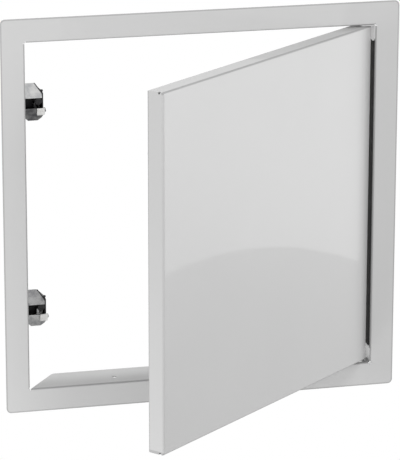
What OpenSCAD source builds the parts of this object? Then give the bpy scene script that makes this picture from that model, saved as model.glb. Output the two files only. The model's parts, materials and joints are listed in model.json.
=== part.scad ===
// Sheet-steel access panel: a folded frame, a hinged door pan and two touch latches.
// X runs to the right across the opening, Y runs back into the wall and Z runs up.
// The origin is the centre of the opening, in the plane where the flange meets the wall.

/* [Frame] */
// Clear width between the side walls of the frame
opening_w = 370; // [260:5:600]
// Clear height between the top and bottom walls of the frame
opening_h = 370; // [320:5:600]
// Width of the face flange that laps over the finished wall
flange_w = 25; // [15:1:40]
// Thickness of the frame's sheet
frame_sheet = 1.2; // [0.8:0.1:1.6]
// Inside radius of the frame's folds
frame_fold_r = 1; // [0.5:0.1:2]
// Radius of the flange's outer corners
corner_r = 5; // [1:0.5:12]
// Depth of the folded walls behind the flange
wall_d = 42; // [36:1:60]
// Distance from the end of a wall to the corner of the opening
wall_end_gap = 0.6; // [0.5:0.1:6]
// How far a wall's end slopes in between its front and its rear edge
wall_slope = 31; // [10:1:36]
// Radius of the rear corners of the walls
wall_corner_r = 6; // [1:0.5:10]
// Diameter of the fixing holes
fixing_d = 5; // [3:0.5:7]
// Spacing of the fixing holes in the top and bottom walls
fixing_pitch_x = 182; // [80:2:200]
// Spacing of the fixing holes in the side walls
fixing_pitch_z = 120; // [60:5:140]
// Depth of the fixing holes in the top and bottom walls behind the flange
fixing_y = 17; // [12:1:20]
// Depth of the fixing holes in the side walls behind the flange
side_fixing_y = 28; // [24:1:30]
// Width of the slits at the ends of the frame's folds
fold_slit = 0.3; // [0.2:0.1:0.8]

/* [Door] */
// Gap round the closed door at its free, top and bottom edges
door_gap = 2; // [1.6:0.1:3]
// Gap at the hinge edge of the closed door
hinge_gap = 4.5; // [4:0.1:6]
// Depth of the door pan
door_d = 19.5; // [16:0.5:24]
// Thickness of the door's sheet
door_sheet = 1.2; // [0.8:0.1:1.6]
// Inside radius of the door's folds
door_fold_r = 1; // [0.5:0.1:1.6]
// Width of the return lip along the free edge
free_lip_w = 27; // [26:1:34]
// Width of the return lips along the other edges
lip_w = 12; // [8:1:18]
// Width of the open seams between the lips
lip_seam = 0.8; // [0.4:0.1:2]
// Diameter of the relief holes in the pan's corners
relief_d = 3; // [2:0.5:4]
// Distance of the relief holes behind the door's face
relief_y = 5; // [4:0.5:8]
// Angle at which the door stands open
door_angle = 40.5; // [0:0.5:120]

/* [Hinge] */
// Diameter of the hinge pin and of the hinge bolt
pin_d = 4; // [3:0.5:4.5]
// Distance of the hinge axis from the door's hinge edge
axis_inset_x = 7; // [6.9:0.1:12]
// Distance of the hinge axis behind the door's face
axis_inset_y = 5.5; // [5:0.1:6]
// Thickness of the hinge brackets
bracket_t = 1.2; // [0.8:0.1:1.4]
// Length of a hinge bracket's leaf along the side wall
leaf_l = 18; // [16:1:24]
// Length of a hinge bracket's ear along the top or bottom wall
ear_l = 16.5; // [16:0.5:30]
// Distance of the hinge brackets' rear edges behind the flange
bracket_d = 13; // [11:0.5:15]
// Radius of the corners of the brackets' leaves
leaf_corner_r = 5.5; // [2:0.5:6]
// Radius of the corners of the brackets' ears
ear_corner_r = 4; // [2:0.5:6]
// Thickness of the foam seal in the hinge gap
seal_t = 1.2; // [0.8:0.1:1.6]
// Distance of the foam seal behind the flange
seal_y = 4; // [1.2:0.1:6]
// Width of the foam seal
seal_w = 14; // [8:0.5:18]
// Distance of the foam seal from the hinge brackets
seal_gap = 0.5; // [0.2:0.1:4]
// Diameter of the thrust washer
washer_d = 9; // [7:0.5:10]
// Diameter of the hinge pin's head
pin_head_d = 6.5; // [5.5:0.1:6.5]
// Thickness of the hinge pin's head
pin_head_t = 0.9; // [0.6:0.1:1]
// How far the hinge pin reaches down past the door's top wall
pin_reach = 5; // [3:0.5:10]
// Travel of the hinge bolt
bolt_travel = 6; // [5.5:0.5:7]
// Height of the bolt guide inside the door
guide_h = 25; // [22:1:40]
// Width of the bolt guide across the hinge axis
guide_w = 18; // [17:0.5:24]
// Depth of the bolt guide from the front to the back of the door
guide_d = 11; // [10:0.5:13]
// Thickness of the bolt guide's sheet
guide_t = 1.2; // [0.8:0.1:1.4]
// Height of the hinge bolt's handle above the guide
handle_rise = 7; // [5:0.5:12]
// Length of the hinge bolt's handle
handle_l = 18; // [12:1:26]
// Bend radius of the hinge bolt's handle
handle_r = 5; // [4:0.5:8]

/* [Latch] */
// Distance between the two latches as a share of the opening's height
latch_spread = 0.6; // [0.5:0.01:0.7]
// Height of the point midway between the latches above the centre of the opening
latch_rise = 5; // [0:0.5:10]
// Height of the latch case
case_h = 32; // [29:0.5:40]
// How far the latch case stands out from the frame wall
case_w = 24; // [22:0.5:28]
// Depth of the latch case
case_d = 12; // [11:0.5:13]
// Thickness of the latch case's strip
case_t = 1.2; // [0.8:0.1:1.5]
// Width of the bevels on the case's outer corners
case_bevel_x = 7.5; // [4:0.5:8]
// Height of the bevels on the case's outer corners
case_bevel_z = 7; // [4:0.5:7]
// Distance of the mouth's centre from the case's outer side
mouth_inset = 5.5; // [5.4:0.1:7]
// Distance of the jaw pivots behind the closed door
jaw_back = 16.2; // [16:0.1:18]
// Distance of each jaw pivot from the mouth's centre
jaw_pivot_z = 10; // [9.6:0.1:10.4]
// Diameter of the jaw pivots
pivot_d = 2.6; // [2:0.2:3]
// Diameter of the hub of a jaw
jaw_hub_d = 5.6; // [5:0.2:6]
// Reach of a jaw's lip in front of its pivot
jaw_reach = 12.5; // [12:0.1:13]
// Depth of the hook at the lip of a jaw
hook_d = 2.5; // [2:0.1:3]
// Distance of the jaws' outer edges from the mouth's centre when they are shut
wing_z = 17.9; // [16:0.1:18.5]
// Slant of the jaws' front plates when they are shut
wing_slant = 11; // [6:1:14]
// Thickness of the jaws' front plates
wing_t = 1.8; // [1.2:0.1:2.2]
// How far the top jaw's plate stays inside the case's outer side
top_jaw_inset = 3; // [2:0.1:5]
// Width of the slanted corner of the top jaw's plate
top_slant_x = 6.2; // [3:0.1:8]
// Height of the slanted corner of the top jaw's plate
top_slant_z = 9.4; // [4:0.1:11]
// How far the bottom jaw's nose stands out past the case's outer side
nose_reach = 1.6; // [0.5:0.1:3]
// Width of the pad on the nose
nose_w = 8; // [5:0.1:9]
// Height of the pad on the nose
nose_h = 7.4; // [5:0.1:8]
// Distance of the nose's lower end from the mouth's centre when the jaws are shut
nose_end_z = 14.2; // [12:0.1:15]
// Thickness of the pad at the jaw's lip
nose_rise = 1.2; // [0.6:0.1:1.4]
// Distance from a jaw's pivot to the tip of its tail
tail_l = 7; // [6.5:0.1:7.4]
// Diameter of the rounded tip of a jaw's tail
tail_d = 2.4; // [1.6:0.1:2.6]
// Width of a jaw's tail
tail_w = 6; // [4:0.5:6]
// Travel of the plunger from jaws open to jaws shut
plunger_travel = 2; // [1.2:0.1:2]
// Diameter of the plunger's pad and collar
plunger_d = 7.6; // [7:0.2:7.8]
// Diameter of the plunger's stem
stem_d = 4; // [3.4:0.2:4.4]
// Thickness of the plunger's pad
pad_t = 3.3; // [2:0.1:3.5]

/* [Striker] */
// Thickness of the striker's neck
neck_t = 3; // [2:0.2:3.6]
// Thickness of the striker's head
head_t = 6.4; // [5:0.2:6.8]
// Width of the striker's neck and head
spear_w = 4.6; // [4:0.2:6]
// Height of the striker's base plate
base_h = 36; // [34:1:44]
// Width of the striker's base plate
base_w = 14; // [12:1:16]
// Thickness of the striker's base plate
base_t = 1.2; // [0.8:0.1:1.6]
// Spacing of the striker's rivets
striker_pitch = 26; // [22:1:28]

/* [Rivets and springs] */
// Diameter of the rivets
rivet_d = 3.2; // [2.4:0.2:4]
// Diameter of the rivet heads
rivet_head_d = 6; // [5:0.2:7]
// Height of the rivet heads
rivet_head_h = 1; // [0.6:0.1:1.4]
// Spacing of the rivets of a latch case
case_rivet_pitch = 9; // [7:0.5:10]
// Wire of the plunger springs
plunger_wire = 0.6; // [0.4:0.1:0.6]
// Wire of the hinge bolt's spring
bolt_wire = 0.9; // [0.6:0.1:1]
// Turns of the plunger springs
plunger_turns = 3; // [2:0.5:3.5]
// Turns of the hinge bolt's spring
bolt_turns = 7; // [4:0.5:9]

/* [Hidden] */

$fn = 48;
paint = [0.82, 0.82, 0.82];
plate = [0.72, 0.73, 0.75];
spring_steel = [0.45, 0.46, 0.48];
nylon = [0.9, 0.9, 0.88];
foam = [0.08, 0.08, 0.08];

// Radial clearance of a pin that turns or slides in its hole
running = 0.05;
// Clearance between faces that move past each other
free_gap = 0.4;
// Overlap that makes a cut run clean through
cut = 1;
// Room between the jaws and the case, past the rivet heads and on the open side
jaw_wall_gap = 1.5;
jaw_side_gap = 0.5;
// Distance from the jaw pivots to the back of the case
case_tail = 7.5;
// Play of a jaw's tail on each side in the plunger's groove
groove_play = 0.5;
// Thickness of the plunger's collar, of its clip and of the hinge bolt's clip
collar_t = 1;
plunger_clip_t = 0.8;
bolt_clip_t = 1;
// Bore, ring and mouth of a clip and depth of its groove, as shares of the shaft or of the bore
clip_bore = 0.75;
clip_ring = 1.8;
clip_mouth = 0.8;
// Radial room between a coil spring and the shaft inside it
coil_gap = 0.4;
// Points round the wire of a coil spring and along each turn
coil_sides = 8;
coil_steps = 18;
// Room that lets the retracted hinge bolt clear the washer
retract_gap = 0.5;
// Inside bend radius of the hinge brackets and of the bolt guide, and their gap to the sheet in front
bracket_bend_r = 0.2;
bracket_gap = 0.2;
guide_bend_r = 0.5;
guide_gap = 0.2;
// Corner radius of the striker's base and length of the straight edge of its head
base_corner_r = 3;
head_land = 0.8;
// Radii of the latch case's corners
case_foot_r = 1;
case_corner_r = 3;
// Bevel on the rims of small turned pieces
rim = 0.5;
// Height of a jaw's arm behind its plate
arm_h = 4;

face_y = -frame_sheet;
frame_fold = frame_fold_r + frame_sheet;
left_x = -opening_w / 2;
right_x = opening_w / 2;
top_z = opening_h / 2;
bottom_z = -opening_h / 2;
axis_y = face_y + axis_inset_y;

door_left = left_x + door_gap;
door_right = right_x - hinge_gap;
door_top = top_z - door_gap;
door_bottom = bottom_z + door_gap;
door_w = door_right - door_left;
axis_x = door_right - axis_inset_x;
door_h = door_top - door_bottom;
door_mid_x = (door_left + door_right) / 2;
door_back = face_y + door_d;
door_fold = door_fold_r + door_sheet;
washer_t = door_gap - bracket_t;

bolt_reach = bolt_travel - frame_sheet - door_gap - retract_gap;

upper_z = latch_rise + latch_spread * top_z;
lower_z = latch_rise + latch_spread * bottom_z;
mouth_x = case_w - mouth_inset;
jaw_y = door_back + jaw_back;
jaw_open = plunger_travel / tail_l * 180 / PI;
jaw_x0 = case_t + rivet_head_h + jaw_wall_gap;
bevel_run = case_bevel_x / case_bevel_z;
bevel_drop = max(0, jaw_pivot_z + jaw_hub_d / 2 + case_bevel_z - case_h / 2);
jaw_x1 = case_w - case_t * norm([1, bevel_run]) - bevel_drop * bevel_run - jaw_side_gap;
case_y1 = jaw_y + case_tail;
case_y0 = case_y1 - case_d;
case_rivet_y = (case_y0 + case_y1) / 2;
case_rivet_z = case_rivet_pitch / 2;
hook_z = neck_t / 2 + free_gap;
hook_y = jaw_y - jaw_reach;
groove_w = tail_d + 2 * groove_play;
groove_y = jaw_y - tail_l * sin(jaw_open / 2);
pad_y = groove_y - groove_w / 2 - pad_t;
collar_y = groove_y + groove_w / 2;
spring_y = collar_y + collar_t;

// Unit vector along v
function unit(v) = v / norm(v);

// Vector v turned by an angle
function turned(v, angle) = [
  v.x * cos(angle) - v.y * sin(angle),
  v.x * sin(angle) + v.y * cos(angle)
];

// Arc of radius r that rounds the corner p between the directions a and b
function corner_arc(p, a, b, r, steps) =
  let (
    half = acos(a * b) / 2,
    centre = p + unit(a + b) * r / sin(half),
    start = p + a * r / tan(half) - centre,
    side = cross([a.x, a.y, 0], [b.x, b.y, 0]).z < 0 ? 1 : -1,
    sweep = side * (180 - 2 * half)
  )
  [for (k = [0 : steps]) centre + turned(start, sweep * k / steps)];

// Outline whose corners are rounded by the matching radii
function rounded(points, radii, steps = 6) =
  let (n = len(points))
  [
    for (i = [0 : n - 1])
      let (
        p = points[i],
        a = unit(points[(i + n - 1) % n] - p),
        b = unit(points[(i + 1) % n] - p)
      )
      each radii[i] > 0 ? corner_arc(p, a, b, radii[i], steps) : [p]
  ];

// Convex outline, drawn anticlockwise, moved inwards by d
function inset(points, d) =
  let (n = len(points))
  [
    for (i = [0 : n - 1])
      let (
        before = unit(points[i] - points[(i + n - 1) % n]),
        after = unit(points[(i + 1) % n] - points[i]),
        n1 = [-before.y, before.x],
        n2 = [-after.y, after.x]
      )
      points[i] + d * (n1 + n2) / (1 + n1 * n2)
  ];

// Profile in X and Z carried along Y from y0 to y1
module along_y(y0, y1) {
  translate([0, y1, 0]) rotate([90, 0, 0]) linear_extrude(y1 - y0) children();
}

// Profile in Y and Z carried along X from x0 to x1
module along_x(x0, x1) {
  translate([x0, 0, 0]) rotate([90, 0, 90]) linear_extrude(x1 - x0) children();
}

// Round bar along X from x0 to x1, through the point y, z
module bar_x(d, x0, x1, y, z) {
  translate([x0, y, z]) rotate([0, 90, 0]) cylinder(d = d, h = x1 - x0);
}

// Round bar along Y from y0 to y1, through the point x, z
module bar_y(d, y0, y1, x, z) {
  translate([x, y0, z]) rotate([-90, 0, 0]) cylinder(d = d, h = y1 - y0);
}

// Round bar along Z from z0 to z1, through the point x, y
module bar_z(d, z0, z1, x, y) {
  translate([x, y, z0]) cylinder(d = d, h = z1 - z0);
}

// Rectangle with round corners
module rounded_rect(w, h, r) {
  square([w - 2 * r, h], center = true);
  square([w, h - 2 * r], center = true);
  for (sx = [-1, 1], sz = [-1, 1])
    translate([sx * (w / 2 - r), sz * (h / 2 - r)]) circle(r);
}

// Quarter of a fold in sheet of thickness t, bent about the origin into the quadrant sx, sz
module fold(r, t, sx, sz) {
  intersection() {
    difference() {
      circle(r + t);
      circle(r);
    }
    translate([sx < 0 ? -r - t : 0, sz < 0 ? -r - t : 0]) square(r + t);
  }
}

// Round-headed rivet along X: flat shop head at x0 - head, dome past x1
module rivet(x0, x1) {
  dome_r = (pow(rivet_head_d / 2, 2) + pow(rivet_head_h, 2)) / (2 * rivet_head_h);
  rotate([0, 90, 0]) {
    translate([0, 0, x0]) cylinder(d = rivet_d, h = x1 - x0);
    translate([0, 0, x0 - rivet_head_h]) cylinder(d = rivet_head_d, h = rivet_head_h);
    translate([0, 0, x1])
      intersection() {
        cylinder(d = rivet_head_d, h = rivet_head_h);
        translate([0, 0, rivet_head_h - dome_r]) sphere(dome_r);
      }
  }
}

// Coil spring standing on the XY plane: mean radius r, wire diameter, free length and turns
module coil(r, wire, length, turns) {
  rings = round(turns * coil_steps);
  rise = length - wire;
  points = [
    for (i = [0 : rings], k = [0 : coil_sides - 1])
      let (
        around = 360 * turns * i / rings,
        section = 360 * k / coil_sides,
        reach = r + wire / 2 * cos(section)
      )
      [
        reach * cos(around),
        reach * sin(around),
        wire / 2 + rise * i / rings + wire / 2 * sin(section)
      ]
  ];
  skin = [
    for (i = [0 : rings - 1], k = [0 : coil_sides - 1])
      let (
        a = i * coil_sides + k,
        b = i * coil_sides + (k + 1) % coil_sides
      )
      each [[a, b, b + coil_sides], [a, b + coil_sides, a + coil_sides]]
  ];
  ends = [
    [for (k = [coil_sides - 1 : -1 : 0]) k],
    [for (k = [0 : coil_sides - 1]) rings * coil_sides + k]
  ];
  polyhedron(points, concat(skin, ends));
}

// Everything on the door, turned about the hinge axis to the angle at which it stands
module on_door() {
  translate([axis_x, axis_y, 0]) rotate([0, 0, door_angle]) translate([-axis_x, -axis_y, 0]) children();
}

// Origin moved to a latch: X out from the frame wall, Z from the mouth's centre
module at_latch(z) {
  translate([left_x, 0, z]) children();
}

// Side of the opening, with X along it and Z out of the opening
module at_side(angle, reach) {
  rotate([0, angle, 0]) translate([0, 0, reach]) children();
}

// Wall of the frame, folded back from the flange, with sloping ends and fixing holes
module frame_wall(length, pitch, depth) {
  half = length / 2 - wall_end_gap;
  difference() {
    intersection() {
      along_x(-half, half) {
        translate([frame_fold_r, 0]) square([wall_d - frame_fold_r, frame_sheet]);
        translate([frame_fold_r, frame_fold]) fold(frame_fold_r, frame_sheet, -1, -1);
      }
      linear_extrude(frame_fold)
        polygon(rounded(
          [[-half, face_y], [half, face_y], [half - wall_slope, wall_d], [wall_slope - half, wall_d]],
          [0, 0, wall_corner_r, wall_corner_r]
        ));
    }
    for (s = [-1, 1])
      bar_z(fixing_d, -cut, frame_sheet + cut, s * pitch / 2, depth);
  }
}

// Frame: face flange with the four walls of the opening
module frame() {
  slit_end = wall_end_gap - fold_slit;
  color(paint)
    difference() {
      union() {
        along_y(face_y, 0)
          difference() {
            rounded_rect(opening_w + 2 * flange_w, opening_h + 2 * flange_w, corner_r);
            square([opening_w, opening_h], center = true);
            square([opening_w - 2 * slit_end, opening_h + 2 * frame_fold], center = true);
            square([opening_w + 2 * frame_fold, opening_h - 2 * slit_end], center = true);
          }
        for (angle = [0, 180])
          at_side(angle, top_z) frame_wall(opening_w, fixing_pitch_x, fixing_y);
        for (angle = [90, 270])
          at_side(angle, right_x) frame_wall(opening_h, fixing_pitch_z, side_fixing_y);
      }
      bar_z(pin_d + 2 * running, bottom_z - frame_sheet - cut, top_z + frame_sheet + cut, axis_x, axis_y);
      for (z = [upper_z, lower_z], s = [-1, 1])
        at_latch(z)
          bar_x(rivet_d + 2 * running, -frame_sheet - cut, cut, case_rivet_y, s * case_rivet_z);
    }
}

// Hinge bracket in the corner of the frame: leaf on the side wall, ear with the pin hole under the top wall
module hinge_bracket() {
  difference() {
    intersection() {
      along_y(bracket_gap, bracket_d)
        polygon(rounded(
          [
            [right_x - ear_l, top_z], [right_x - ear_l, top_z - bracket_t],
            [right_x - bracket_t, top_z - bracket_t], [right_x - bracket_t, top_z - leaf_l],
            [right_x, top_z - leaf_l], [right_x, top_z]
          ],
          [0, 0, bracket_bend_r, 0, 0, bracket_bend_r + bracket_t]
        ));
      union() {
        along_x(right_x - 2 * bracket_t, right_x + cut)
          polygon(rounded(
            [[0, top_z], [0, top_z - leaf_l], [bracket_d, top_z - leaf_l], [bracket_d, top_z]],
            [0, leaf_corner_r, leaf_corner_r, 0]
          ));
        translate([0, 0, top_z - 2 * bracket_t])
          linear_extrude(3 * bracket_t)
            polygon(rounded(
              [[right_x, 0], [right_x, bracket_d], [right_x - ear_l, bracket_d], [right_x - ear_l, 0]],
              [0, 0, ear_corner_r, ear_corner_r]
            ));
      }
    }
    bar_z(pin_d + 2 * running, top_z - bracket_t - cut, top_z + cut, axis_x, axis_y);
  }
}

module hinge_bracket_top() {
  color(paint) hinge_bracket();
}

module hinge_bracket_bottom() {
  color(paint) mirror([0, 0, 1]) hinge_bracket();
}

// Fixed pin at the top of the hinge, with its head on the frame's top wall
module hinge_pin() {
  chamfer = pin_d / 8;
  seat = top_z + frame_sheet;
  tip = door_top - door_sheet - pin_reach;
  color(plate) {
    bar_z(pin_head_d, seat, seat + pin_head_t, axis_x, axis_y);
    bar_z(pin_d, tip + chamfer, seat, axis_x, axis_y);
    translate([axis_x, axis_y, tip]) cylinder(d1 = pin_d - 2 * chamfer, d2 = pin_d, h = chamfer);
  }
}

// Thrust washer that carries the door on the bottom bracket
module hinge_washer() {
  color(nylon)
    translate([axis_x, axis_y, bottom_z + bracket_t])
      difference() {
        cylinder(d = washer_d, h = washer_t);
        translate([0, 0, -cut]) cylinder(d = pin_d + 2 * running, h = washer_t + 2 * cut);
      }
}

// Foam seal on the hinge-side wall, between the two brackets
module hinge_seal() {
  inner = right_x - seal_t;
  half = top_z - leaf_l - seal_gap;
  color(foam)
    translate([0, 0, -half])
      linear_extrude(2 * half)
        polygon(rounded(
          [[right_x, seal_y], [right_x, seal_y + seal_w], [inner, seal_y + seal_w], [inner, seal_y]],
          [0, 0, seal_t / 2, seal_t / 2]
        ));
}

// One folded edge of the door pan, mitred at both ends, with X along it and Z out of the door
module door_edge(length, lip) {
  half = length / 2;
  intersection() {
    along_x(-half, half) {
      translate([face_y + door_fold, -door_fold]) fold(door_fold_r, door_sheet, -1, 1);
      translate([face_y + door_fold, -door_sheet]) square([door_d - 2 * door_fold, door_sheet]);
      translate([door_back - door_fold, -door_fold]) fold(door_fold_r, door_sheet, 1, 1);
      translate([door_back - door_sheet, -lip]) square([door_sheet, lip - door_fold]);
    }
    along_y(face_y - cut, door_back + cut)
      polygon([[-half, 0], [lip - half, -lip], [half - lip, -lip], [half, 0]]);
  }
}

// Diagonal of a door corner, with X running in from the corner
module at_door_corner(sx, sz) {
  translate([door_mid_x + sx * door_w / 2, 0, sz * door_h / 2])
    rotate([0, sx > 0 ? 180 - sz * 45 : sz * 45, 0]) children();
}

// Door: front skin with four folded edges and return lips, hinge holes and striker holes
module door_panel() {
  hole = pin_d + 2 * running;
  seam_l = free_lip_w * 2;
  color(paint)
    on_door()
      difference() {
        union() {
          along_y(face_y, face_y + door_sheet)
            translate([door_left + door_fold, door_bottom + door_fold])
              square([door_w - 2 * door_fold, door_h - 2 * door_fold]);
          translate([door_mid_x, 0, 0]) {
            for (angle = [0, 180])
              at_side(angle, door_h / 2) door_edge(door_w, lip_w);
            at_side(90, door_w / 2) door_edge(door_h, lip_w);
            at_side(270, door_w / 2) door_edge(door_h, free_lip_w);
          }
        }
        for (sx = [-1, 1], sz = [-1, 1])
          at_door_corner(sx, sz) {
            bar_x(relief_d, -cut, 4 * door_sheet, face_y + relief_y, 0);
            translate([2 * door_sheet, door_back - door_sheet - cut / 2, -lip_seam / 2])
              cube([seam_l, door_sheet + cut, lip_seam]);
          }
        bar_z(hole, door_bottom - cut, door_bottom + door_sheet + cut, axis_x, axis_y);
        bar_z(hole, door_top - door_sheet - cut, door_top + cut, axis_x, axis_y);
        for (z = [upper_z, lower_z], s = [-1, 1])
          bar_y(
            rivet_d + 2 * running, door_back - door_sheet - cut, door_back + cut,
            left_x + mouth_x, z + s * striker_pitch / 2
          );
      }
}

// Guide of the hinge bolt: a folded channel on the inside of the door's hinge edge
guide_back = door_right - door_sheet;
guide_foot = door_bottom + door_sheet;
guide_head = guide_foot + guide_h;
guide_y0 = face_y + door_fold + guide_gap;
guide_fold = guide_bend_r + guide_t;
clip_z = guide_foot + guide_t;

module bolt_guide() {
  color(plate)
    on_door()
      difference() {
        along_y(guide_y0, guide_y0 + guide_d)
          polygon(rounded(
            [
              [guide_back, guide_foot], [guide_back, guide_head], [guide_back - guide_w, guide_head],
              [guide_back - guide_w, guide_head - guide_t], [guide_back - guide_t, guide_head - guide_t],
              [guide_back - guide_t, guide_foot + guide_t], [guide_back - guide_w, guide_foot + guide_t],
              [guide_back - guide_w, guide_foot]
            ],
            [guide_fold, guide_fold, 0, 0, guide_bend_r, guide_bend_r, 0, 0]
          ));
        bar_z(pin_d + 2 * running, guide_foot - cut, guide_head + cut, axis_x, axis_y);
      }
}

// Hinge bolt: a rod with its upper end bent over as a handle, and a groove for the clip
module hinge_bolt() {
  chamfer = pin_d / 4;
  tip = bottom_z - frame_sheet - bolt_reach;
  bend_z = guide_head + handle_rise - handle_r;
  color(plate)
    on_door()
      translate([axis_x, axis_y, 0])
        difference() {
          union() {
            translate([0, 0, tip]) cylinder(d1 = pin_d - 2 * chamfer, d2 = pin_d, h = chamfer);
            translate([0, 0, tip + chamfer]) cylinder(d = pin_d, h = bend_z - tip - chamfer);
            translate([-handle_r, 0, bend_z])
              rotate([90, 0, 0])
                rotate_extrude(angle = 90)
                  translate([handle_r, 0]) circle(d = pin_d);
            bar_x(pin_d, -handle_l, -handle_r, 0, bend_z + handle_r);
          }
          translate([0, 0, clip_z]) clip_groove(pin_d, bolt_clip_t);
        }
}

// Groove of a retaining clip in a shaft of diameter d, upwards from the XY plane
module clip_groove(d, t) {
  difference() {
    cylinder(d = d + cut, h = t);
    translate([0, 0, -cut]) cylinder(d = clip_bore * d, h = t + 2 * cut);
  }
}

// Retaining clip: an open ring of thickness t that snaps into the groove of a shaft of diameter d
module snap_clip(d, t) {
  bore = clip_bore * d + 2 * running;
  difference() {
    cylinder(d = clip_ring * d, h = t);
    translate([0, 0, -cut]) {
      cylinder(d = bore, h = t + 2 * cut);
      translate([0, -bore * clip_mouth / 2, 0]) cube([2 * d, bore * clip_mouth, t + 2 * cut]);
    }
  }
}

module bolt_clip() {
  color(spring_steel)
    on_door() translate([axis_x, axis_y, clip_z]) rotate(180) snap_clip(pin_d, bolt_clip_t);
}

// Spring that presses the hinge bolt down, between the clip and the guide's upper ear
module bolt_spring() {
  seat = clip_z + bolt_clip_t;
  color(spring_steel)
    on_door()
      translate([axis_x, axis_y, seat])
        coil((pin_d + bolt_wire) / 2 + coil_gap, bolt_wire, guide_head - guide_t - seat, bolt_turns);
}

// Striker: riveted base plate with an arrow head on a neck, pointing back into the latch's mouth
module striker(z) {
  root = door_back + base_t;
  shoulder = hook_y + hook_d + free_gap;
  tip = pad_y - free_gap;
  tip_t = head_t / 3;
  color(plate)
    on_door()
      translate([left_x + mouth_x, 0, z])
        difference() {
          union() {
            along_y(door_back, root) rounded_rect(base_w, base_h, base_corner_r);
            along_x(-spear_w / 2, spear_w / 2)
              polygon([
                [root, -neck_t / 2], [shoulder, -neck_t / 2], [shoulder, -head_t / 2],
                [shoulder + head_land, -head_t / 2], [tip, -tip_t / 2], [tip, tip_t / 2],
                [shoulder + head_land, head_t / 2], [shoulder, head_t / 2], [shoulder, neck_t / 2],
                [root, neck_t / 2]
              ]);
          }
          for (s = [-1, 1])
            bar_y(rivet_d + 2 * running, door_back - cut, root + cut, 0, s * striker_pitch / 2);
        }
}

module striker_upper() {
  striker(upper_z);
}

module striker_lower() {
  striker(lower_z);
}

// Rivets that hold the strikers on the door's return lip
module striker_rivets() {
  color(plate)
    on_door()
      for (z = [upper_z, lower_z], s = [-1, 1])
        translate([left_x + mouth_x, 0, z + s * striker_pitch / 2])
          rotate([0, 0, 90]) rivet(door_back - door_sheet, door_back + base_t);
}

// Outline of the latch case seen from the front
case_outline = [
  [0, -case_h / 2], [case_w - case_bevel_x, -case_h / 2], [case_w, case_bevel_z - case_h / 2],
  [case_w, case_h / 2 - case_bevel_z], [case_w - case_bevel_x, case_h / 2], [0, case_h / 2]
];

// Corner radii of the case's outline, moved inwards by d
function case_radii(d) =
  let (foot = max(0, case_foot_r - d), corner = case_corner_r - d)
  [foot, corner, corner, corner, corner, foot];

// Latch case: a strip folded into a ring, closed by a back plate that guides the plunger
module latch_case() {
  color(plate)
    difference() {
      along_y(case_y0, case_y1) polygon(rounded(case_outline, case_radii(0)));
      along_y(case_y0 - cut, case_y1 - case_t)
        polygon(rounded(inset(case_outline, case_t), case_radii(case_t)));
      bar_y(stem_d + 2 * running, case_y0, case_y1 + cut, mouth_x, 0);
      for (s = [-1, 1]) {
        bar_x(pivot_d + 2 * running, -cut, case_w + cut, jaw_y, s * jaw_pivot_z);
        bar_x(rivet_d + 2 * running, -cut, case_t + cut, case_rivet_y, s * case_rivet_z);
      }
    }
}

// Shut jaws seen from the front: a slanted corner on the top jaw, a nose on the bottom jaw
top_x = case_w - top_jaw_inset;
nose_x = case_w + nose_reach;
top_jaw_outline = [
  [jaw_x0, 0], [top_x, 0], [top_x, wing_z - top_slant_z],
  [top_x - top_slant_x, wing_z], [jaw_x0, wing_z]
];
bottom_jaw_outline = [
  [jaw_x0, 0], [nose_x - nose_reach, 0], [nose_x, hook_z + nose_h / 2],
  [nose_x - nose_w / 2, nose_end_z], [nose_x - nose_w, wing_z],
  [jaw_x0 + nose_w / 2, wing_z], [jaw_x0, wing_z - nose_w / 2]
];

// Jaw drawn shut above the mouth: front plate set back behind the hook, arm, hub and tail
module shut_jaw(outline, set_back) {
  plate_y = hook_y + set_back;
  wing_y = plate_y + (wing_z - hook_z) * tan(wing_slant);
  hook_back = hook_y + hook_d;
  arm_z = head_t / 2 + 2 * free_gap;
  hub_r = jaw_hub_d / 2;
  difference() {
    union() {
      intersection() {
        along_x(jaw_x0, nose_x)
          polygon([
            [plate_y, hook_z], [hook_back, hook_z], [hook_back, arm_z],
            [hook_back + wing_t, arm_z + arm_h], [wing_y + wing_t, wing_z], [wing_y, wing_z]
          ]);
        along_y(hook_y, jaw_y) polygon(outline);
      }
      along_x(jaw_x0, jaw_x1) {
        polygon([
          [hook_back - rim, arm_z], [jaw_y - hub_r, jaw_pivot_z - hub_r],
          [jaw_y, jaw_pivot_z - hub_r], [jaw_y, jaw_pivot_z + hub_r],
          [jaw_y - hub_r, jaw_pivot_z + hub_r / 2], [hook_back + rim, arm_z + arm_h]
        ]);
        translate([jaw_y, jaw_pivot_z]) circle(hub_r);
      }
      translate([0, jaw_y, jaw_pivot_z])
        rotate([jaw_open / 2, 0, 0])
          along_x(mouth_x + tail_w / 3 - tail_w, mouth_x + tail_w / 3) {
            translate([0, -tail_l]) circle(d = tail_d);
            translate([-tail_d / 2, -tail_l]) square([tail_d, tail_l]);
          }
    }
    bar_x(pivot_d + 2 * running, 0, case_w, jaw_y, jaw_pivot_z);
  }
}

// Jaw turned open about its pivot by the plunger's travel
module turned_open() {
  translate([0, jaw_y, jaw_pivot_z])
    rotate([-jaw_open, 0, 0])
      translate([0, -jaw_y, -jaw_pivot_z]) children();
}

module latch_top_jaw() {
  color(plate) turned_open() shut_jaw(top_jaw_outline, 0);
}

module latch_bottom_jaw() {
  color(plate) mirror([0, 0, 1]) turned_open() shut_jaw(bottom_jaw_outline, nose_rise);
}

// Pad on the nose of the bottom jaw, flat in front and bedded on the jaw's slanted plate
module latch_nose() {
  pad_x1 = nose_x - nose_reach;
  bed = hook_y + nose_rise;
  color(nylon)
    mirror([0, 0, 1])
      turned_open()
        along_x(pad_x1 - nose_w, pad_x1)
          translate([0, hook_z])
            polygon([
              [hook_y, 0], [bed, 0], [bed + nose_h * tan(wing_slant), nose_h], [hook_y, nose_h]
            ]);
}

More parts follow.
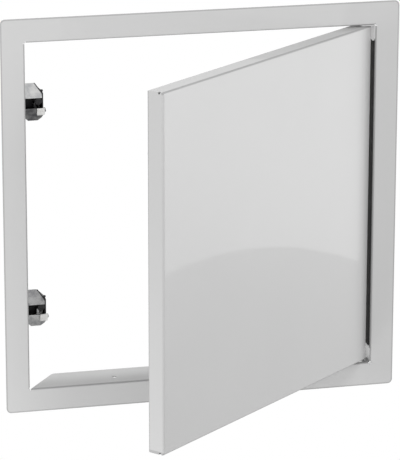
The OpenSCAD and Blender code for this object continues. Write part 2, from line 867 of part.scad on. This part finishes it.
// Pivots of the two jaws, from the frame wall out through the case
module latch_pivots() {
  color(plate)
    for (s = [-1, 1]) {
      bar_x(pivot_d, 0, case_w, jaw_y, s * jaw_pivot_z);
      translate([case_w, jaw_y, s * jaw_pivot_z])
        rotate([0, 90, 0]) cylinder(d1 = pivot_d, d2 = pivot_d - 2 * rim, h = rim);
    }
}

// Plunger: pad in the mouth, groove for the jaws' tails, collar for the spring and a stem through the case
module latch_plunger() {
  tail_end = case_y1 + 2 * plunger_clip_t;
  color(plate)
    translate([mouth_x, 0, 0])
      rotate([-90, 0, 0])
        difference() {
          rotate_extrude()
            polygon([
              [0, pad_y], [plunger_d / 2 - rim, pad_y], [plunger_d / 2, pad_y + rim],
              [plunger_d / 2, pad_y + pad_t], [stem_d / 2 - rim, pad_y + pad_t],
              [stem_d / 2 - rim, collar_y], [plunger_d / 2, collar_y], [plunger_d / 2, spring_y],
              [stem_d / 2, spring_y], [stem_d / 2, tail_end], [0, tail_end]
            ]);
          translate([0, 0, case_y1]) clip_groove(stem_d, plunger_clip_t);
        }
}

// Clip that keeps the plunger from leaving the case
module latch_clip() {
  color(spring_steel)
    translate([mouth_x, case_y1, 0]) rotate([-90, 0, 0]) snap_clip(stem_d, plunger_clip_t);
}

// Spring that presses the plunger forwards, from the back plate to the collar
module latch_spring() {
  color(spring_steel)
    translate([mouth_x, spring_y, 0])
      rotate([-90, 0, 0])
        coil(
          (stem_d + plunger_wire) / 2 + coil_gap, plunger_wire,
          case_y1 - case_t - spring_y, plunger_turns
        );
}

// Rivets that hold the latch case on the frame wall
module latch_rivets() {
  color(plate)
    for (s = [-1, 1])
      translate([0, case_rivet_y, s * case_rivet_z]) rivet(-frame_sheet, case_t);
}

frame();
hinge_bracket_top();
hinge_bracket_bottom();
hinge_pin();
hinge_washer();
hinge_seal();
door_panel();
bolt_guide();
bolt_spring();
hinge_bolt();
bolt_clip();
striker_upper();
striker_lower();
striker_rivets();
at_latch(upper_z) latch_case();  // upper_latch_case
at_latch(upper_z) latch_top_jaw();  // upper_latch_top_jaw
at_latch(upper_z) latch_bottom_jaw();  // upper_latch_bottom_jaw
at_latch(upper_z) latch_nose();  // upper_latch_nose
at_latch(upper_z) latch_pivots();  // upper_latch_pivots
at_latch(upper_z) latch_plunger();  // upper_latch_plunger
at_latch(upper_z) latch_clip();  // upper_latch_clip
at_latch(upper_z) latch_spring();  // upper_latch_spring
at_latch(upper_z) latch_rivets();  // upper_latch_rivets
at_latch(lower_z) latch_case();  // lower_latch_case
at_latch(lower_z) latch_top_jaw();  // lower_latch_top_jaw
at_latch(lower_z) latch_bottom_jaw();  // lower_latch_bottom_jaw
at_latch(lower_z) latch_nose();  // lower_latch_nose
at_latch(lower_z) latch_pivots();  // lower_latch_pivots
at_latch(lower_z) latch_plunger();  // lower_latch_plunger
at_latch(lower_z) latch_clip();  // lower_latch_clip
at_latch(lower_z) latch_spring();  // lower_latch_spring
at_latch(lower_z) latch_rivets();  // lower_latch_rivets
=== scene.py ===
"""Looks of the sheet-steel access panel: powder coat, plated latches, coil springs and a studio."""
import json

import bpy
import numpy as np
from mathutils import Matrix, Vector


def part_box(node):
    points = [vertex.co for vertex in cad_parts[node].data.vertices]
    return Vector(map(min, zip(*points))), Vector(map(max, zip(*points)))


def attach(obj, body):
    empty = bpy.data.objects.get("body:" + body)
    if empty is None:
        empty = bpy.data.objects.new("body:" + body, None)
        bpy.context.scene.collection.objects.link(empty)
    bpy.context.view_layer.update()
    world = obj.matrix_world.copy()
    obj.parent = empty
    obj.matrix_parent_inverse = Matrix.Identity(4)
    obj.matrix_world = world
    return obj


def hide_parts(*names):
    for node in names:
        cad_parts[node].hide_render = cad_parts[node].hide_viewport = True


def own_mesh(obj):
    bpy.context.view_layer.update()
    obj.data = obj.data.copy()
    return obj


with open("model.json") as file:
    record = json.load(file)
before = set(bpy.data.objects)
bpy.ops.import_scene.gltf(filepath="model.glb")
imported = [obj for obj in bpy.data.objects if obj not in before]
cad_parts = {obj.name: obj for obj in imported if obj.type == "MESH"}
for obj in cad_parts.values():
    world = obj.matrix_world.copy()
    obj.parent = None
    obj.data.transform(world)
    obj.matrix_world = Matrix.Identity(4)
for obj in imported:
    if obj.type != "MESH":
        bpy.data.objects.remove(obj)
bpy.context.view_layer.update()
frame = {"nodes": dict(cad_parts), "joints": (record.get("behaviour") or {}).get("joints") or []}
nodes = frame["nodes"]
hinge = next(joint for joint in frame["joints"] if joint["name"] == "door_hinge")
HINGE_AXIS = Vector(hinge["pos_m"])
DOOR_SHUT = np.radians(hinge["range_deg"][0])
LATCHES = ("upper", "lower")

# Bands on the frame and the brackets, where a mask starts and ends. All places are in metres from
# the middle of the opening, and y = 0 is the face of the panel.
FOLD_START, FOLD_END = (-0.00115, -0.0007), (0.0006, 0.0012)
OPENING_EDGE = (0.1873, 0.1876)
WALL_FADE = (0.006, 0.036)
RIM_SQUARE, RIM_BAND = 0.205, (0.0033, 0.0041)
HINGE_WALL, WALL_SHADE_FADE = (0.1840, 0.1850), (0.006, 0.009)
CORNER_SHADE_X, CORNER_SHADE_Z = (0.150, 0.165), (-0.1850, -0.1840)
EAR_TOP, LEAF_FOOT = (-0.1826, -0.1816), (-0.1815, -0.1680)

# Bands on the closed door
DOOR_MIDDLE_X = -0.00125
DOOR_SIDE, DOOR_TOP = (0.1793, 0.1797), (0.1806, 0.1810)
DOOR_BACK, DOOR_WALL = (0.0158, 0.0168), (0.0002, 0.0012)
DOOR_FOOT = (-0.1804, -0.1796)

# How much of the full painted shade of a fold, or of the hinge gap, the weaker places show
WALL_SHARE, RIM_SHARE = 0.7, 0.75
DOOR_BACK_SHARE, DOOR_FOOT_SHARE, DOOR_UPRIGHT_SHARE = 0.7, 0.7, 0.25
EAR_SHADE, LEAF_SHADE = 0.85, 0.4

# Width and height of the slanted corner of a top jaw, and the band of the painted dark reflection
# on its cut edge
SLANT_X, SLANT_Z = 0.0062, 0.0090
CUT_REFLECTION_BAND = (0.0004, 0.0018)


def grey(level):
    """Neutral colour of one level."""
    return (level, level, level)


COAT_LOW, COAT_HIGH = grey(0.585), (0.625, 0.625, 0.624)
# Painted shade tones for the folds and the hinge gap, and a painted dark reflection for a jaw's cut
# edge
FOLD_SHADE_TONE, GAP_SHADE_TONE, CUT_REFLECTION_TONE = grey(0.37), grey(0.11), grey(0.02)
WHITE = grey(1.0)


# Shader maths

class Value:
    """One shader output that takes part in Python arithmetic. Every operator adds a Math node."""

    def __init__(self, finish, socket):
        self.finish = finish
        self.socket = socket

    def _math(self, operation, first, second):
        return self.finish.make("ShaderNodeMath", {"operation": operation}, {0: first, 1: second})

    def __add__(self, other):
        return self._math("ADD", self, other)

    def __radd__(self, other):
        return self._math("ADD", other, self)

    def __sub__(self, other):
        return self._math("SUBTRACT", self, other)

    def __rsub__(self, other):
        return self._math("SUBTRACT", other, self)

    def __mul__(self, other):
        return self._math("MULTIPLY", self, other)

    def __rmul__(self, other):
        return self._math("MULTIPLY", other, self)

    def __pow__(self, other):
        return self._math("POWER", self, other)

    def size(self):
        """The value without its sign."""
        return self.finish.make("ShaderNodeMath", {"operation": "ABSOLUTE"}, {0: self})

    def or_more(self, other):
        """The larger of the value and another."""
        return self._math("MAXIMUM", self, other)

    def over(self, low):
        """What the value has above low, and nothing below it."""
        return (self - low).or_more(0.0)

    def above(self, low, high):
        """Smooth step from 0 at low to 1 at high."""
        return self.finish.make(
            "ShaderNodeMapRange", {"interpolation_type": "SMOOTHSTEP", "clamp": True},
            {"Value": self, "From Min": low, "From Max": high},
        )

    def below(self, low, high):
        """Smooth step from 1 at low to 0 at high."""
        return 1 - self.above(low, high)


def either(first, second):
    """Mask that is 1 where either of two masks is 1."""
    return 1 - (1 - first) * (1 - second)


class Finish:
    """A node tree under construction, for a material or for the world."""

    def __init__(self, owner):
        owner.use_nodes = True
        self.owner = owner
        self.tree = owner.node_tree
        self.tree.nodes.clear()

    def make(self, kind, settings=None, sockets=None, out=0):
        """Adds a node: its settings first, then its sockets' values or links. Returns an output."""
        node = self.tree.nodes.new(kind)
        for key, setting in (settings or {}).items():
            setattr(node, key, setting)
        for key, value in (sockets or {}).items():
            socket = node.inputs[key]
            if isinstance(value, Value):
                self.tree.links.new(value.socket, socket)
            elif socket.type == "RGBA":
                socket.default_value = (*value, 1.0)
            else:
                socket.default_value = value
        return Value(self, node.outputs[out]) if node.outputs else node

    def place(self):
        """Object coordinates: metres in the frame of the whole part."""
        return self.make("ShaderNodeTexCoord", out="Object")

    def stretched(self, factors):
        """Object coordinates stretched along each axis."""
        return self.make("ShaderNodeMapping", {}, {"Vector": self.place(), "Scale": factors})

    def axes(self, vector):
        """The three coordinates of a vector."""
        return [self.make("ShaderNodeSeparateXYZ", {}, {0: vector}, out=axis) for axis in "XYZ"]

    def noise(self, scale, detail=2.0, vector=None):
        """Cloudy noise, scale clouds to the metre, on Object coordinates if no vector is given."""
        return self.make(
            "ShaderNodeTexNoise", {},
            {"Vector": vector or self.place(), "Scale": scale, "Detail": detail},
        )

    def blend(self, share, first, second):
        """Colour that goes from first to second as share goes from 0 to 1."""
        return self.make(
            "ShaderNodeMix", {"data_type": "RGBA"}, {0: share, 6: first, 7: second}, out=2,
        )

    def bump(self, height, distance):
        """Normal of a surface raised by height times a distance in metres."""
        return self.make("ShaderNodeBump", {}, {"Height": height, "Distance": distance})

    def close(self, shader):
        """Ends a material with its shader and returns the material."""
        self.make("ShaderNodeOutputMaterial", {}, {"Surface": shader})
        return self.owner

    def principled(self, **sockets):
        """Ends a material with a Principled shader. Socket names have _ for a space."""
        named = {key.replace("_", " "): value for key, value in sockets.items()}
        return self.close(self.make("ShaderNodeBsdfPrincipled", {}, named))


def new_finish(name):
    """An empty material to build up."""
    return Finish(bpy.data.materials.new(name))


# Powder coat

def fold_shade_band(y):
    """1 in the round of a fold, from just behind the face to where the wall runs straight back."""
    return y.above(*FOLD_START) * y.below(*FOLD_END)


# Painted shade: the frame's coat is darkened along the folds of the opening, back along its walls
# and round the flange's rim.
def frame_fold_shade(f):
    """1 along the folds of the opening, fading out back along its walls, and along the rolled rim.

    The rim is told by the distance from a square smaller than the flange by its corner radius.
    """
    x, y, z = f.axes(f.place())
    opening = x.size().below(*OPENING_EDGE) * z.size().below(*OPENING_EDGE)
    walls = WALL_SHARE * y.above(*FOLD_END) * y.below(*WALL_FADE)
    out = (x.size().over(RIM_SQUARE) ** 2 + z.size().over(RIM_SQUARE) ** 2) ** 0.5
    rim = RIM_SHARE * out.above(*RIM_BAND)
    return either((fold_shade_band(y) + walls) * opening, rim)


def hinge_gap_shade(f):
    """1 where painted shade darkens the hinge gap: on the wall's front beside the seal and in its
    corner.
    """
    x, y, z = f.axes(f.place())
    front = y.above(*FOLD_END) * y.below(*WALL_SHADE_FADE)
    corner = x.above(*CORNER_SHADE_X) * z.below(*CORNER_SHADE_Z)
    return front * either(x.above(*HINGE_WALL), corner) * x.below(*OPENING_EDGE)


def bracket_gap_shade(f):
    """1 on the ear of the bottom bracket, and less up the foot of its leaf: painted shade of the
    hinge gap.
    """
    z = f.axes(f.place())[2]
    return either(EAR_SHADE * z.below(*EAR_TOP), LEAF_SHADE * z.below(*LEAF_FOOT))


# Painted shade: the door's coat is darkened along its folds and at the lower ends of its upright
# sides.
def door_fold_shade(f):
    """1 along the folds round the door's face and back, and at the lower ends of its upright sides.

    The place is turned back about the hinge to the closed door. The upright folds show less.
    """
    shut = Matrix.Rotation(DOOR_SHUT, 3, "Z")
    closed = f.make("ShaderNodeMapping", {}, {
        "Vector": f.place(),
        "Rotation": (0.0, 0.0, DOOR_SHUT),
        "Location": HINGE_AXIS - shut @ HINGE_AXIS,
    })
    x, y, z = f.axes(closed)
    beside = (x - DOOR_MIDDLE_X).size().above(*DOOR_SIDE)
    over = z.size().above(*DOOR_TOP)
    ends = DOOR_FOOT_SHARE * beside * z.below(*DOOR_FOOT) * y.above(*DOOR_WALL)
    back = DOOR_BACK_SHARE * y.above(*DOOR_BACK) * either(beside, over)
    face = fold_shade_band(y) * either(DOOR_UPRIGHT_SHARE * beside, over)
    return either(either(ends, back), face)


def powder_coat(name, folds=None, dust_and_shade=None):
    """Light grey powder coat: fine orange peel, slow drift of gloss and faint mottling.

    It is darker, as painted shade, and duller where the folds mask says. Where the second mask
    says, painted shade darkens it much further.
    """
    f = new_finish(name)
    peel = f.noise(620.0, 1.0)
    grain = f.noise(3600.0, 2.0)
    drift = f.noise(7.0, 3.0)
    smear = f.noise(26.0, 4.0, f.stretched((1.0, 1.0, 0.35)))
    tone = f.blend(drift * 0.7 + smear * 0.3, COAT_LOW, COAT_HIGH)
    rough = 0.36 + 0.10 * (smear - 0.5) + 0.05 * (grain - 0.5)
    gloss = 0.5 + 0.1 * drift
    if folds:
        fold = folds(f)
        # Painted shade along the folds
        tone = f.blend(fold * (0.75 + 0.25 * smear), tone, FOLD_SHADE_TONE)
        rough = rough + 0.15 * fold
        gloss = gloss * (1 - 0.8 * fold)
    if dust_and_shade:
        # Painted shade in the hinge gap, on the frame's wall and the bottom bracket
        tone = f.blend(dust_and_shade(f), tone, GAP_SHADE_TONE)
    return f.principled(
        Base_Color=tone,
        Roughness=rough,
        Coat_Weight=gloss,
        Specular_IOR_Level=0.35,
        Coat_Roughness=0.04,
        Coat_IOR=1.5,
        Normal=f.bump(peel + 0.35 * grain, 0.000018),
    )


# Metal, plastic and foam

def plated_steel(name, pale, dull, corner=None):
    """Plated steel: fine drawn lines and cloudy gloss, from pale to dull where the plating is thin.

    corner is the outer corner of a jaw's plate, which is cut off on a slant. A dark reflection is
    painted along the cut edge.
    A place's distance from the slant, along x, is its distance from the corner along x, plus its
    distance from the corner along z in the slant's proportion, less the slant's width.
    """
    f = new_finish(name)
    lines = f.noise(900.0, 3.0, f.stretched((0.06, 1.0, 1.0)))
    cloud = f.noise(160.0, 3.0)
    pits = f.noise(2400.0, 1.0)
    tone = f.blend(cloud.above(0.35, 0.70), pale, dull)
    if corner is not None:
        x, _, z = f.axes(f.place())
        run = SLANT_X / SLANT_Z
        inside = (corner.x + corner.z * run - SLANT_X) - x - run * z
        # Painted dark reflection along the slanted cut edge
        tone = f.blend(inside.below(*CUT_REFLECTION_BAND), tone, CUT_REFLECTION_TONE)
    return f.principled(
        Base_Color=tone,
        Metallic=1.0,
        Roughness=0.13 + 0.10 * cloud + 0.08 * lines,
        Normal=f.bump(lines + 0.5 * pits, 0.000010),
    )


def dark_plate():
    """Blackened steel of the latch cases and pivots: near black, satin, rubbed paler in places."""
    f = new_finish("dark_plate")
    cloud = f.noise(220.0, 4.0)
    rub = f.noise(60.0, 3.0).above(0.58, 0.75)
    return f.principled(
        Base_Color=f.blend(0.5 * cloud + 0.5 * rub, (0.018, 0.018, 0.020), (0.070, 0.070, 0.074)),
        Metallic=0.25,
        Roughness=0.34 + 0.22 * cloud,
        Normal=f.bump(f.noise(1500.0, 2.0), 0.000012),
    )


def black_acetal():
    """Black moulded plastic of the plungers: soft sheen with a fine grain."""
    f = new_finish("black_acetal")
    grain = f.noise(1800.0, 2.0)
    return f.principled(
        Base_Color=f.blend(f.noise(120.0, 2.0), (0.012, 0.012, 0.013), (0.032, 0.032, 0.034)),
        Roughness=0.40 + 0.18 * grain,
        Normal=f.bump(grain, 0.000012),
    )


def spring_wire():
    """Drawn spring wire: dark oiled steel with lines along the wire, which its UV map follows."""
    f = new_finish("spring_wire")
    along = f.make("ShaderNodeTexCoord", out="UV")
    drawn = f.make("ShaderNodeMapping", {}, {"Vector": along, "Scale": (0.4, 3.0, 1.0)})
    lines = f.noise(14.0, 3.0, drawn)
    return f.principled(
        Base_Color=f.blend(lines, (0.16, 0.16, 0.17), (0.46, 0.46, 0.47)),
        Metallic=1.0,
        Roughness=0.24 + 0.20 * f.noise(300.0, 3.0),
        Normal=f.bump(lines, 0.000008),
    )


def clip_steel():
    """Spring-steel clips: blue-black, with a brown tint and a stamped satin face."""
    f = new_finish("clip_steel")
    cloud = f.noise(420.0, 3.0)
    return f.principled(
        Base_Color=f.blend(cloud.above(0.3, 0.7), (0.10, 0.105, 0.125), (0.22, 0.20, 0.18)),
        Metallic=1.0,
        Roughness=0.28 + 0.18 * cloud,
        Normal=f.bump(f.noise(2600.0, 2.0), 0.000008),
    )


def natural_nylon():
    """Natural nylon of the hinge washer and the jaws' nose pads: milky white, matt, faint grain."""
    f = new_finish("natural_nylon")
    grain = f.noise(1400.0, 3.0)
    return f.principled(
        Base_Color=f.blend(f.noise(180.0, 2.0), (0.90, 0.897, 0.88), (0.95, 0.947, 0.93)),
        Roughness=0.46 + 0.14 * grain,
        Normal=f.bump(grain, 0.000014),
    )


def gap_shade_foam():
    """Closed-cell foam of the hinge seal, near black as painted shade of the hinge gap: matt skin,
    fine cells and a little paler dusting.
    """
    f = new_finish("gap_shade_foam")
    cells = f.make(
        "ShaderNodeTexVoronoi", {"feature": "F1"}, {"Vector": f.place(), "Scale": 1300.0},
    )
    dust_and_shade = f.noise(90.0, 4.0).above(0.52, 0.80)
    return f.principled(
        # Near-black base: painted shade of the hinge gap
        Base_Color=f.blend(dust_and_shade, grey(0.038), (0.062, 0.062, 0.061)),
        Roughness=0.82 + 0.14 * cells,
        Specular_IOR_Level=0.2,
        Normal=f.bump(cells, 0.00008),
    )


# Finishes on the CAD nodes

def jaw_corner(side):
    """Outer top corner of a latch's top jaw."""
    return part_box(f"{side}_latch_top_jaw")[1]


FINISHES = {
    "frame_coat": powder_coat("frame_coat", frame_fold_shade, hinge_gap_shade),
    "door_coat": powder_coat("door_coat", door_fold_shade),
    "bracket_coat": powder_coat("bracket_coat", dust_and_shade=bracket_gap_shade),
    "bright_plate": plated_steel("bright_plate", (0.60, 0.60, 0.595), (0.46, 0.465, 0.48)),
    "upper_top_plate": plated_steel(
        "upper_top_plate", (0.62, 0.62, 0.615), (0.44, 0.445, 0.455), jaw_corner("upper"),
    ),
    # Painted shade: the upper latch's bottom jaw
    "upper_bottom_plate": plated_steel("upper_bottom_plate", grey(0.20), (0.085, 0.085, 0.09)),
    # Painted shade: the lower latch's top jaw
    "lower_top_plate": plated_steel(
        "lower_top_plate", grey(0.42), (0.25, 0.25, 0.26), jaw_corner("lower"),
    ),
    # Painted highlight: the lower latch's bottom jaw
    "lower_bottom_plate": plated_steel(
        "lower_bottom_plate", (0.70, 0.70, 0.695), (0.44, 0.445, 0.455),
    ),
    "dark_plate": dark_plate(),
    "black_acetal": black_acetal(),
    "spring_wire": spring_wire(),
    "clip_steel": clip_steel(),
    "natural_nylon": natural_nylon(),
    "foam": gap_shade_foam(),
}
WORN_BY = {
    "frame_coat": ["frame"],
    "door_coat": ["door_panel"],
    "bracket_coat": ["hinge_bracket_top", "hinge_bracket_bottom"],
    "bright_plate": [
        "hinge_pin", "bolt_guide", "hinge_bolt", "striker_upper", "striker_lower", "striker_rivets",
        *[f"{side}_latch_rivets" for side in LATCHES],
    ],
    **{
        f"{side}_{jaw}_plate": [f"{side}_latch_{jaw}_jaw"]
        for side in LATCHES for jaw in ("top", "bottom")
    },
    "dark_plate": [f"{side}_latch_{piece}" for side in LATCHES for piece in ("case", "pivots")],
    "black_acetal": [f"{side}_latch_plunger" for side in LATCHES],
    "clip_steel": ["bolt_clip", *[f"{side}_latch_clip" for side in LATCHES]],
    "natural_nylon": ["hinge_washer", *[f"{side}_latch_nose" for side in LATCHES]],
    "foam": ["hinge_seal"],
}
for finish, names in WORN_BY.items():
    for name in names:
        mesh = nodes[name].data
        mesh.materials.clear()
        mesh.materials.append(FINISHES[finish])


# Surfaces

def surface(name, points, finish, tube):
    """Mesh from a grid of points, with rows along u and columns along v.

    On a tube, v closes on itself and both ends get a cap. Otherwise the surface is an open sheet.
    """
    rows, columns, _ = points.shape
    index = np.arange(rows * columns).reshape(rows, columns)
    beside = np.roll(index, -1, axis=1) if tube else index[:, 1:]
    here = index if tube else index[:, :-1]
    quads = np.stack([here[:-1], beside[:-1], beside[1:], here[1:]], axis=-1).reshape(-1, 4)
    faces = quads.tolist()
    if tube:
        faces += [index[0, ::-1].tolist(), index[-1].tolist()]
    mesh = bpy.data.meshes.new(name)
    mesh.from_pydata(points.reshape(-1, 3).tolist(), [], faces)
    grid_u, grid_v = np.meshgrid(np.arange(rows), np.arange(columns) / columns, indexing="ij")
    uv = np.stack([grid_u, grid_v], axis=-1).reshape(-1, 2)
    corner = np.zeros(len(mesh.loops), np.int32)
    mesh.loops.foreach_get("vertex_index", corner)
    uv_map = mesh.uv_layers.new(name="UVMap")
    uv_map.data.foreach_set("uv", uv[corner].astype(np.float32).ravel())
    mesh.polygons.foreach_set("use_smooth", np.ones(len(mesh.polygons), bool))
    mesh.validate()
    mesh.materials.append(finish)
    piece = bpy.data.objects.new(name, mesh)
    bpy.context.scene.collection.objects.link(piece)
    return piece


# Coil springs

RIGHT, BACK, UP = (1, 0, 0), (0, 1, 0), (0, 0, 1)
STEPS_PER_TURN, SECTION_STEPS = 40, 16
DEAD_TURNS = 0.75
END_RISE, END_CUT = 0.42, 0.28
RAMP_EASE = 0.06


def coil_points(radius, wire, length, turns, start, axis):
    """Coil spring as a round section carried along a helix about axis from start.

    The angle grows evenly from the x direction. The rise follows a smooth ramp that stays nearly
    level for the dead turns at both ends, so the end coils lie flat. The section is cut off level
    with both ends, as a ground spring is.
    """
    side = np.array(RIGHT, float)
    across = np.cross(axis, side)
    whole, dead = 2 * np.pi * turns, 2 * np.pi * DEAD_TURNS
    angle = np.linspace(0.0, whole, int(turns * STEPS_PER_TURN) + 1)[:, None]
    ramp = np.clip((angle - dead) / (whole - 2 * dead), 0.0, 1.0)
    ramp = ramp + RAMP_EASE * np.sin(2 * np.pi * ramp) / (2 * np.pi)
    near, far = np.clip(angle / dead, 0, 1), np.clip((whole - angle) / dead, 0, 1)
    middle = wire * 0.5 + wire * END_RISE * (near - far) * 0.5 + ramp * (length - wire)
    middle = np.clip(middle, wire * END_CUT, length - wire * END_CUT)
    section = np.linspace(0.0, 2 * np.pi, SECTION_STEPS, endpoint=False)[None, :]
    reach = radius + wire / 2 * np.cos(section)
    height = np.clip(middle + wire / 2 * np.sin(section), 0.0, length)
    out = np.cos(angle)[..., None] * side + np.sin(angle)[..., None] * across
    return start + reach[..., None] * out + height[..., None] * axis


def coil_spring(name, node, body, wire, turns, axis, width_axis):
    """Smooth coil in the box of a spring's node."""
    low, high = (np.array(corner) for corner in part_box(node))
    along = np.array(axis, float)
    length = (high - low) @ along
    foot = (low + high) / 2 - along * length / 2
    radius = ((high - low) @ width_axis - wire) / 2
    points = coil_points(radius, wire, length, turns, foot, along)
    spring = surface(name, points, FINISHES["spring_wire"], tube=True)
    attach(spring, body)
    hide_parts(node)
    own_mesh(spring)


for side in LATCHES:
    coil_spring(
        f"{side}_latch_coil", f"{side}_latch_spring", "frame",
        wire=0.0006, turns=3.5, axis=BACK, width_axis=RIGHT,
    )
coil_spring(
    "bolt_coil", "bolt_spring", "door",
    wire=0.0009, turns=8.0, axis=UP, width_axis=BACK,
)


# Studio

FILL, CARD_GLOW = 0.375, 2.36
FLOOR_REACH, FLOOR_HEIGHT = 1.6, -0.95
FLOOR_FADE = (FLOOR_REACH * 0.55, FLOOR_REACH * 0.98)
CARD_X, CARD_Y, CARD_TOP = 0.9, (-0.26, 0.22), 0.26
ARCH_LEVEL, ARCH_SLOPE, ARCH_BOW = -0.272, -0.074, -1.756
# Each soft light has a place, the point it is aimed at, a width and a power.
SOFTBOXES = {
    "top_front": ((-0.10, -0.90, 1.20), (0.0, 0.0, 0.0), 0.8, 7.3),
    "right_front": ((0.45, -1.60, 0.60), (0.0, 0.0, 0.0), 0.7, 7.6),
    "left_side": ((-1.10, -0.50, 0.10), (-0.1, -0.22, 0.0), 0.4, 2.8),
    "low_left": ((-0.50, -0.30, -0.62), (-0.1, -0.24, -0.15), 0.25, 2.0),
    "back_fill": ((-0.55, 1.50, 0.55), (0.0, 0.0, 0.0), 0.8, 11.0),
}


def floor_points():
    """Flat square: x and y run evenly from minus the floor's reach to its reach, at one height."""
    steps = np.linspace(-FLOOR_REACH, FLOOR_REACH, 33)
    x, y = np.meshgrid(steps, steps, indexing="ij")
    return np.stack([x, y, np.full_like(x, FLOOR_HEIGHT)], axis=-1)


def floor_finish():
    """Pale matt floor that fades out into the white studio at its rim."""
    f = new_finish("studio_floor")
    flat = f.stretched((1, 1, 0))
    reach = f.make("ShaderNodeVectorMath", {"operation": "LENGTH"}, {0: flat}, out="Value")
    pale = f.blend(f.noise(40.0, 3.0), grey(0.86), grey(0.90))
    matt = f.make("ShaderNodeBsdfDiffuse", {}, {"Color": pale})
    clear = f.make("ShaderNodeBsdfTransparent")
    fade = reach.above(*FLOOR_FADE)
    return f.close(f.make("ShaderNodeMixShader", {}, {0: fade, 1: matt, 2: clear}))


def card_points():
    """Upright card to the right: y runs evenly, and z from an arched lower edge to a level top."""
    y, share = np.meshgrid(np.linspace(*CARD_Y, 49), np.linspace(0.0, 1.0, 9), indexing="ij")
    low = ARCH_LEVEL + ARCH_SLOPE * y + ARCH_BOW * y ** 2
    return np.stack([np.full_like(y, CARD_X), y, low + share * (CARD_TOP - low)], axis=-1)


def card_finish():
    """White card that glows evenly, so the door's face mirrors its lower edge."""
    f = new_finish("white_card")
    return f.close(f.make("ShaderNodeEmission", {}, {"Color": WHITE, "Strength": CARD_GLOW}))


def studio_world():
    """White studio: camera and mirrors see plain white, and an even fill comes from all round."""
    world = bpy.data.worlds.new("studio")
    bpy.context.scene.world = world
    f = Finish(world)
    camera, glossy, through = [
        f.make("ShaderNodeLightPath", out=f"Is {ray} Ray")
        for ray in ("Camera", "Glossy", "Transmission")
    ]
    seen = camera.or_more(glossy).or_more(through)
    fill = f.make("ShaderNodeBackground", {}, {"Color": WHITE, "Strength": FILL})
    white = f.make("ShaderNodeBackground", {}, {"Color": WHITE, "Strength": 1.0})
    light = f.make("ShaderNodeMixShader", {}, {0: seen, 1: fill, 2: white})
    f.make("ShaderNodeOutputWorld", {}, {"Surface": light})


def softbox(name, place, target, width, power):
    """Square soft light at place, aimed at target. No camera and no glossy surface shows it."""
    lamp = bpy.data.lights.new(name, "AREA")
    lamp.shape = "RECTANGLE"
    lamp.size = lamp.size_y = width
    lamp.energy = power
    light = bpy.data.objects.new(name, lamp)
    aim = (Vector(target) - Vector(place)).to_track_quat("-Z", "Z")
    light.matrix_world = Matrix.Translation(place) @ aim.to_matrix().to_4x4()
    light.visible_camera = False
    light.visible_glossy = False
    bpy.context.scene.collection.objects.link(light)


floor = surface("studio_floor", floor_points(), floor_finish(), tube=False)
studio_world()
for name, setup in SOFTBOXES.items():
    softbox(name, *setup)
card = surface("white_card", card_points(), card_finish(), tube=False)
card.visible_camera = False


# Camera

SENSOR_WIDTH, LENS, FARTHEST = 36.0, 237.27, 50.0
CAMERA_PLACE = (-0.7134, -2.9513, 0.8680)
CAMERA_FORWARD, CAMERA_UPRIGHT = (0.22474, 0.93271, -0.28205), (0.06501, 0.27446, 0.95940)


def photo_camera():
    """Long lens at the photograph's place. Its axes come from the view direction and upright."""
    view = bpy.data.cameras.new("photo_camera")
    view.sensor_width = SENSOR_WIDTH
    view.lens = LENS
    view.clip_end = FARTHEST
    camera = bpy.data.objects.new("photo_camera", view)
    forward = Vector(CAMERA_FORWARD).normalized()
    right = forward.cross(Vector(CAMERA_UPRIGHT)).normalized()
    upright = right.cross(forward)
    turn = Matrix((right, upright, -forward)).transposed().to_4x4()
    camera.matrix_world = Matrix.Translation(CAMERA_PLACE) @ turn
    bpy.context.scene.collection.objects.link(camera)
    bpy.context.scene.camera = camera


photo_camera()
bpy.context.scene.view_settings.view_transform = "Standard"
